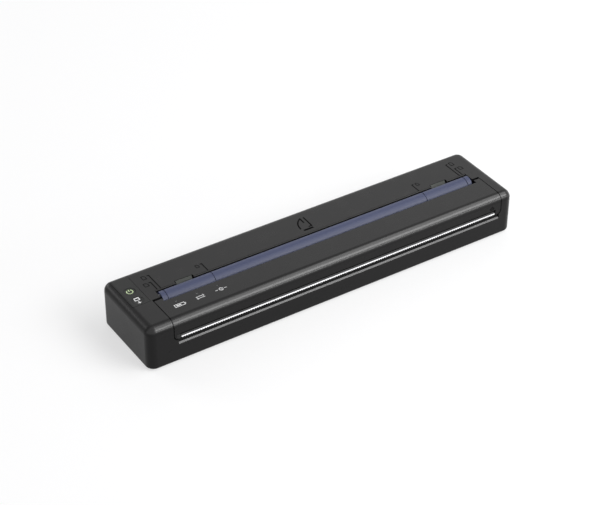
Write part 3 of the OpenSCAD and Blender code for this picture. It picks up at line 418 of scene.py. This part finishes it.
def flat_cable():
    """Flat flexible cable: tinned conductors under a pale film."""
    made = Finish("ribbon", Specular_IOR_Level=0.5, Coat_Weight=0.4, Coat_Roughness=0.15)
    pitch = 1.0 * MM
    wires = abs(made.along("X").wrapped(pitch) - pitch / 2) < 0.3 * MM
    film = made.noise(3 * MM, 2)
    made.tint(0.8 * wires + 0.15 * film, (0.72, 0.6, 0.36), (0.55, 0.55, 0.53))
    made.put("Roughness", 0.35 + 0.1 * film)
    made.put("Metallic", 0.6 * wires)
    made.bump(wires, 0.05 * MM, 0.5)
    return made.material


def clear_guide():
    """Smoked acrylic with moulding ripples. Its posts look dark from above, because no lamp is lit."""
    made = Finish("guide_clear", Transmission_Weight=0.6, IOR=1.49, Specular_IOR_Level=0.2)
    ripples = made.noise(2 * MM, 2)
    made.tint(ripples, (0.05, 0.056, 0.054), (0.09, 0.098, 0.095))
    made.put("Roughness", 0.06 + 0.1 * ripples)
    made.bump(ripples, 0.02 * MM, 0.3)
    return made.material


def printed(name, colour, rough=0.55, shine=0.3):
    """Pad-printed ink: even, with slightly ragged cover and its own thin texture."""
    made = Finish(name, Specular_IOR_Level=shine)
    cover = made.noise(0.25 * MM, 3)
    made.tint(cover, tinted(colour, 0.86), tinted(colour, 1.08))
    made.put("Roughness", rough + 0.12 * (cover - 0.5))
    made.bump(cover, 0.004 * MM, 0.5)
    return made.material


FINISHES = {
    "case_black": case_shell().material,
    "cover_black": cover_shell().material,
    "bar_blue": bar_finish(),
    "tear_steel": tear_strip(),
    "key_black": moulded("key_black", (0.017, 0.0175, 0.017), 0.4, 0.3 * MM, 0.01 * MM).material,
    "tab_grey": moulded("tab_grey", (0.038, 0.042, 0.037), 0.42).material,
    "rubber_black": soft_rubber(),
    "steel": ground_steel("steel", (0.62, 0.62, 0.64), 0.24, (1, 0.05, 0.05)),
    "screw_steel": ground_steel("screw_steel", (0.16, 0.16, 0.17), 0.38, (1, 1, 1)),
    "gear_white": acetal(),
    "brass": turned("brass", (0.74, 0.55, 0.24), 0.24),
    "bronze": turned("bronze", (0.56, 0.38, 0.2), 0.36),
    "aluminium": extruded_aluminium(),
    "chassis_steel": plated_sheet(),
    "ceramic": glazed_ceramic(),
    "ribbon": flat_cable(),
    "board_green": circuit_board(),
    "chip_black": chip_finish(),
    "guide_clear": clear_guide(),
    "motor_can": ground_steel("motor_can", (0.66, 0.65, 0.63), 0.28, (1, 0.1, 0.1)),
    "cell_black": moulded("cell_black", (0.022, 0.022, 0.025), 0.38, 0.8 * MM).material,
    "socket_black": moulded("socket_black", (0.014, 0.014, 0.015), 0.42, 0.4 * MM).material,
    "ink_black": printed("ink_black", (0.003, 0.003, 0.003), 0.8, 0.02),
    "ink_white": printed("ink_white", (0.72, 0.72, 0.72)),
    "ink_green": printed("ink_green", (0.5, 0.62, 0.36)),
    "heater_glaze": printed("heater_glaze", (0.1, 0.07, 0.045), 0.18),
}


def dress_nodes():
    """Gives every node of the model the finish of its material slot."""
    slots = {part["node"]: part["material_slot"] for part in frame["record"]["subparts"]}
    for name, node in frame["nodes"].items():
        for place in node.material_slots:
            place.material = FINISHES[slots[name]]


# ---------- printed marks ----------

SHARPEST = 0.4  # least cosine of half a bend, which keeps a sharp corner's tip short


def lay(name, points, quads, body, finish):
    """Makes a mesh of points and quads into a piece that rides on a body."""
    mesh = bpy.data.meshes.new(name)
    mesh.from_pydata(points.tolist(), [], quads.tolist())
    mesh.materials.append(FINISHES[finish])
    piece = bpy.data.objects.new(name, mesh)
    bpy.context.scene.collection.objects.link(piece)
    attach(piece, body)


def stroke(path, width, height, closed=False, thick=0.03 * MM, sunk=0.05 * MM):
    """A line of ink with a flat box section, carried along a path in X and Y.

    At each point the two sides lie half the width to the left and right of the path, along the mean of
    the two neighbouring steps' normals, made longer by one over the cosine of half the bend, up to 2.5
    times, so that corners keep their width. height gives the surface under the ink at X and Y: the
    section runs from sunk below it to thick above it.
    """
    path = np.asarray(path, dtype=float)
    step = np.roll(path, -1, axis=0) - path
    step /= np.maximum(np.linalg.norm(step, axis=1), 1e-12)[:, None]
    before = np.roll(step, 1, axis=0)
    if not closed:
        before[0] = step[0]
        step[-1] = before[-1]
    normal = np.stack([-(step + before)[:, 1], (step + before)[:, 0]], axis=1)
    normal /= np.linalg.norm(normal, axis=1)[:, None]
    lean = np.abs(normal[:, 0] * -step[:, 1] + normal[:, 1] * step[:, 0])
    side = normal * (width / 2 / np.maximum(lean, SHARPEST))[:, None]
    left, right = path + side, path - side
    rings = np.stack([
        np.column_stack([left, height(*left.T) - sunk]),
        np.column_stack([right, height(*right.T) - sunk]),
        np.column_stack([right, height(*right.T) + thick]),
        np.column_stack([left, height(*left.T) + thick])], axis=1)
    count = len(path)
    last = count if closed else count - 1
    here = np.arange(last)[:, None] * 4
    there = (np.arange(last)[:, None] + 1) % count * 4
    corner = np.arange(4)
    following = (corner + 1) % 4
    sides = np.stack([here + corner, there + corner, there + following, here + following], axis=-1)
    quads = sides.reshape(-1, 4)
    if not closed:
        end = 4 * (count - 1)
        quads = np.vstack([quads, [[0, 1, 2, 3]], [[end + 3, end + 2, end + 1, end]]])
    return rings.reshape(-1, 3), quads


def drawing(name, strokes, body, finish):
    """Joins several strokes into one piece."""
    points, quads, base = [], [], 0
    for some_points, some_quads in strokes:
        points.append(some_points)
        quads.append(some_quads + base)
        base += len(some_points)
    lay(name, np.vstack(points), np.vstack(quads), body, finish)


def arc(centre, radius, start, end, count=28):
    """Points on a circle from one angle to another, in degrees."""
    turn = np.radians(np.linspace(start, end, count))
    return np.column_stack([centre[0] + radius * np.cos(turn), centre[1] + radius * np.sin(turn)])


def level(x, y):
    """Height 0 everywhere, for ink that is stood up on a face afterwards."""
    return np.zeros_like(x)


def flat_top(x, y):
    """Height of the case's and the cover's flat top."""
    return level(x, y) + CASE_TOP


def key_dish(centre):
    """Height of a key's dished top: the lower of its flat rim and a sphere about a point over it."""
    ball = 13 * MM
    above = 12.6 * MM
    rim = 0.1 * MM

    def height(x, y):
        out = (x - centre[0]) ** 2 + (y - centre[1]) ** 2
        return np.minimum(CASE_TOP - rim, CASE_TOP + above - np.sqrt(ball ** 2 - out))
    return height


# Widths of the printed lines
LINE = 0.62 * MM
THIN = 0.4 * MM
ARROW_LINE = 0.55 * MM

# Lines for three sheet widths: where they start behind the bar, and how far they lie from the path's middle
MARK_FRONT = 3.75 * MM
SMALL_HALF = 74.75 * MM
LARGE_HALF = 105.75 * MM
WIDE_HALF = 108 * MM


def sheet_icon(x, y, half, tall):
    """Upright sheet with its upper right corner folded over."""
    fold = 0.8 * half
    rim = [
        (x - half, y - tall), (x - half, y + tall), (x + half - fold, y + tall),
        (x + half, y + tall - fold), (x + half, y - tall)]
    return stroke(rim, THIN, flat_top, closed=True)


def size_marks():
    """Black lines behind the guide bar where sheets of three widths lie, each with a small sheet."""
    lines = []
    for side in (-1, 1):
        small, large, wide = (PATH_X + side * half for half in (SMALL_HALF, LARGE_HALF, WIDE_HALF))
        tick = side * 1.2 * MM
        lines += [
            stroke([(small, MARK_FRONT), (small, 11.2 * MM), (small + tick, 11.2 * MM)], LINE, flat_top),
            stroke([(large, MARK_FRONT), (large, 17.8 * MM), (large + tick, 17.8 * MM)], LINE, flat_top),
            stroke([(wide, MARK_FRONT), (wide, 11.6 * MM), (wide + tick, 11.6 * MM)], LINE, flat_top),
            sheet_icon(small + side * 3.4 * MM, 10.2 * MM, 0.9 * MM, 1.3 * MM),
            sheet_icon(large + side * 3.6 * MM, 17 * MM, 1.1 * MM, 1.6 * MM),
            sheet_icon(wide + side * 3.4 * MM, 10.4 * MM, 1.2 * MM, 1.5 * MM)]
    drawing("size_marks", lines, "printer", "ink_black")


def sheet_mark():
    """Black outline of a curled sheet over a bar, which shows how a sheet goes in."""
    edge = 0.85 * MM
    rear, front = 18.4 * MM, 8.7 * MM
    curl = arc((6.3 * MM, 9.3 * MM), 10.1 * MM, 119, 183, 24)
    lines = [
        stroke([(3.9 * MM, rear), (3.7 * MM, front), (1.6 * MM, front)], edge, flat_top),
        stroke([(1.3 * MM, 13.4 * MM), *curl], edge, flat_top),
        stroke([(-3 * MM, 6.8 * MM), (3.5 * MM, 6.8 * MM)], 1.35 * MM, flat_top)]
    drawing("sheet_mark", lines, "printer", "ink_black")


def release_mark():
    """Small black arrow over a bar on the cover's front, where a thumb lifts it."""
    x, z = 111.4 * MM, 22 * MM
    half = 1.4 * MM
    cover_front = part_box("release_cover")[0][1]
    arrow = [(x - half, z), (x, z + 1.2 * MM), (x + half, z)]
    bar = [(x - half, z - 0.9 * MM), (x + half, z - 0.9 * MM)]
    lines = []
    for path, closed in ((arrow, True), (bar, False)):
        points, quads = stroke(path, 0.45 * MM, level, closed, 0.01 * MM)
        standing = np.column_stack([points[:, 0], cover_front - points[:, 2], points[:, 1]])
        lines.append((standing, quads))
    drawing("release_mark", lines, "release_cover", "ink_black")


def key_centre(node):
    low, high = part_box(node)
    return ((low[0] + high[0]) / 2, (low[1] + high[1]) / 2)


def power_mark():
    """Standby symbol: a ring with a gap and a bar in it."""
    at = key_centre("power_button")
    dish = key_dish(at)
    ring = arc(at, 1.75 * MM, 125, 415, 40)
    bar = [(at[0], at[1] + 0.3 * MM), (at[0], at[1] + 2.2 * MM)]
    lines = [stroke(ring, LINE, dish), stroke(bar, LINE, dish)]
    drawing("power_mark", lines, "power_key", "ink_green")


def feed_mark():
    """Sheet over an arrow that points the way it leaves."""
    at = key_centre("feed_button")
    dish = key_dish(at)
    x, y = at
    half, tip = 1.4 * MM, 0.95 * MM
    low, high, point = y + 0.45 * MM, y + 2.3 * MM, y - 2.75 * MM
    sheet = [(x - half, low), (x + half, low), (x + half, high), (x - half, high)]
    shaft = [(x, y - 0.5 * MM), (x, point + 0.2 * MM)]
    head = [(x - tip, point + tip), (x, point), (x + tip, point + tip)]
    lines = [
        stroke(sheet, LINE, dish, closed=True),
        stroke(shaft, ARROW_LINE, dish),
        stroke(head, ARROW_LINE, dish)]
    drawing("feed_mark", lines, "feed_key", "ink_white")


# Windows in the cover, and how far in front of each its sign lies
WINDOWS = [(-100.4 * MM, -11.4 * MM), (-87 * MM, -11.4 * MM), (-73.6 * MM, -11.4 * MM)]
SIGN_DROP = 4.1 * MM
SIGN_LINE = 0.42 * MM


def cell_sign(x, y):
    """Battery lying down: a box, its small end and a bar of charge."""
    long, tall = 3.1 * MM, 1.1 * MM
    shell = [(x - long, y - tall), (x + long, y - tall), (x + long, y + tall), (x - long, y + tall)]
    end = [(x + long + 0.6 * MM, y - 0.5 * MM), (x + long + 0.6 * MM, y + 0.5 * MM)]
    charge = [(x - 2.2 * MM, y), (x + 0.9 * MM, y)]
    return [
        stroke(shell, SIGN_LINE, flat_top, closed=True),
        stroke(end, SIGN_LINE, flat_top),
        stroke(charge, 0.9 * MM, flat_top)]


def sheets_sign(x, y):
    """Two arrows side by side, one to each end of the case."""
    tip, reach = 0.75 * MM, 2.6 * MM
    lines = []
    for side in (-1, 1):
        height = y + side * 0.8 * MM
        head = x + side * reach
        lines.append(stroke([(x - side * reach, height), (head, height)], SIGN_LINE, flat_top))
        lines.append(stroke(
            [(head - side * tip, height + tip), (head, height), (head - side * tip, height - tip)],
            SIGN_LINE, flat_top))
    return lines


def state_sign(x, y):
    """Ring with a bar in it, and a short dash on each side."""
    lines = [
        stroke(arc((x, y), 1.15 * MM, 0, 348, 30), SIGN_LINE, flat_top, closed=True),
        stroke([(x, y - 0.45 * MM), (x, y + 0.45 * MM)], SIGN_LINE, flat_top)]
    for side in (-1, 1):
        lines.append(stroke([(x + side * 2.1 * MM, y), (x + side * 3.6 * MM, y)], SIGN_LINE, flat_top))
    return lines


def window_signs():
    """A sign in front of each window in the cover."""
    lines = []
    for (x, y), sign in zip(WINDOWS, (cell_sign, sheets_sign, state_sign)):
        lines += sign(x, y - SIGN_DROP)
    drawing("window_signs", lines, "release_cover", "ink_white")


# ---------- details inside ----------

def heater_line():
    """Dark glazed ridge along the head under the platen: half an ellipse carried along X.

    The foot lies sunk below the head's top. Each end is closed with strips between points at equal
    heights.
    """
    low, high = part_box("print_head")
    half, rise, sunk = 0.55 * MM, 0.06 * MM, 0.02 * MM
    count = 16
    turn = np.linspace(0, math.pi, count)
    profile = np.column_stack([
        PLATEN_Y + half * np.cos(turn), high[2] - sunk + (rise + sunk) * np.sin(turn)])
    ends = np.array([low[0] + 0.5 * MM, high[0] - 0.5 * MM])
    points = np.column_stack([np.repeat(ends, count), np.tile(profile, (2, 1))])
    first = np.arange(count)
    following = (first + 1) % count
    around = np.stack([first, following, following + count, first + count], axis=1)
    strip = np.arange(count // 2 - 1)
    end = np.stack([strip, count - 1 - strip, count - 2 - strip, strip + 1], axis=1)
    quads = np.vstack([around, end, end[:, ::-1] + count])
    lay("heater_line", points, quads, "printer", "heater_glaze")


# ---------- room ----------

SIGHT = ("Is Camera Ray", "Is Glossy Ray", "Is Transmission Ray")


def white_to_the_eye(name, base, glow):
    """Pale surface that still shows a shadow; straight and mirrored sight adds a glow up to white."""
    made = Finish(name, Roughness=0.9, Specular_IOR_Level=0.1, Emission_Strength=glow)
    made.put("Base Color", (*base, 1))
    seen = sum(made.node("ShaderNodeLightPath", output=kind) for kind in SIGHT)
    made.put("Emission Color", made.blend(seen, (0, 0, 0), (1, 1, 1)))
    return made.material


def room():
    """Wide floor under the object, a world that is white to the eye, and five soft lamps."""
    size = 6  # metres from the middle to an edge
    mesh = bpy.data.meshes.new("floor")
    corners = [(-size, -size, 0), (size, -size, 0), (size, size, 0), (-size, size, 0)]
    mesh.from_pydata(corners, [], [(0, 1, 2, 3)])
    mesh.materials.append(white_to_the_eye("floor_white", (0.41, 0.41, 0.41), 0.58))
    floor = bpy.data.objects.new("floor", mesh)
    bpy.context.scene.collection.objects.link(floor)

    world = bpy.data.worlds.new("room")
    world.use_nodes = True
    bpy.context.scene.world = world
    tree = world.node_tree
    plain = tree.nodes["Background"]
    plain.inputs["Color"].default_value = (0.36, 0.36, 0.37, 1)
    bright = tree.nodes.new("ShaderNodeBackground")
    bright.inputs["Color"].default_value = (1, 1, 1, 1)
    eye = tree.nodes.new("ShaderNodeLightPath")
    mix = tree.nodes.new("ShaderNodeMixShader")
    seen = eye.outputs[SIGHT[0]]
    for kind in SIGHT[1:]:
        either = tree.nodes.new("ShaderNodeMath")
        either.operation = "MAXIMUM"
        tree.links.new(seen, either.inputs[0])
        tree.links.new(eye.outputs[kind], either.inputs[1])
        seen = either.outputs[0]
    tree.links.new(seen, mix.inputs[0])
    tree.links.new(plain.outputs[0], mix.inputs[1])
    tree.links.new(bright.outputs[0], mix.inputs[2])
    tree.links.new(mix.outputs[0], tree.nodes["World Output"].inputs["Surface"])

    lamp("front_right", (0.65, -0.95, 0.8), (1.1, 0.45), 12)
    lamp("overhead", (0.62, -0.42, 1.1), (1.0, 0.6), 6)
    lamp("front_low", (0.68, -1.32, 0.38), (1.2, 0.14), 4)
    lamp("rear_right", (0.8, 1.1, 1.0), (1.2, 0.8), 2.8)
    lamp("rear_left", (-0.7, 1.3, 0.6), (0.8, 0.5), 5)


def lamp(name, spot, size, power):
    """Rectangular soft lamp that points at the object."""
    data = bpy.data.lights.new(name, "AREA")
    data.shape = "RECTANGLE"
    data.size, data.size_y = size
    data.energy = power
    light = bpy.data.objects.new(name, data)
    light.location = spot
    light.rotation_euler = (CAMERA_AIM - Vector(spot)).to_track_quat("-Z", "Y").to_euler()
    bpy.context.scene.collection.objects.link(light)


place_camera()
dress_nodes()
size_marks()
sheet_mark()
release_mark()
power_mark()
feed_mark()
window_signs()
heater_line()
room()
bpy.context.scene.view_settings.view_transform = "Standard"
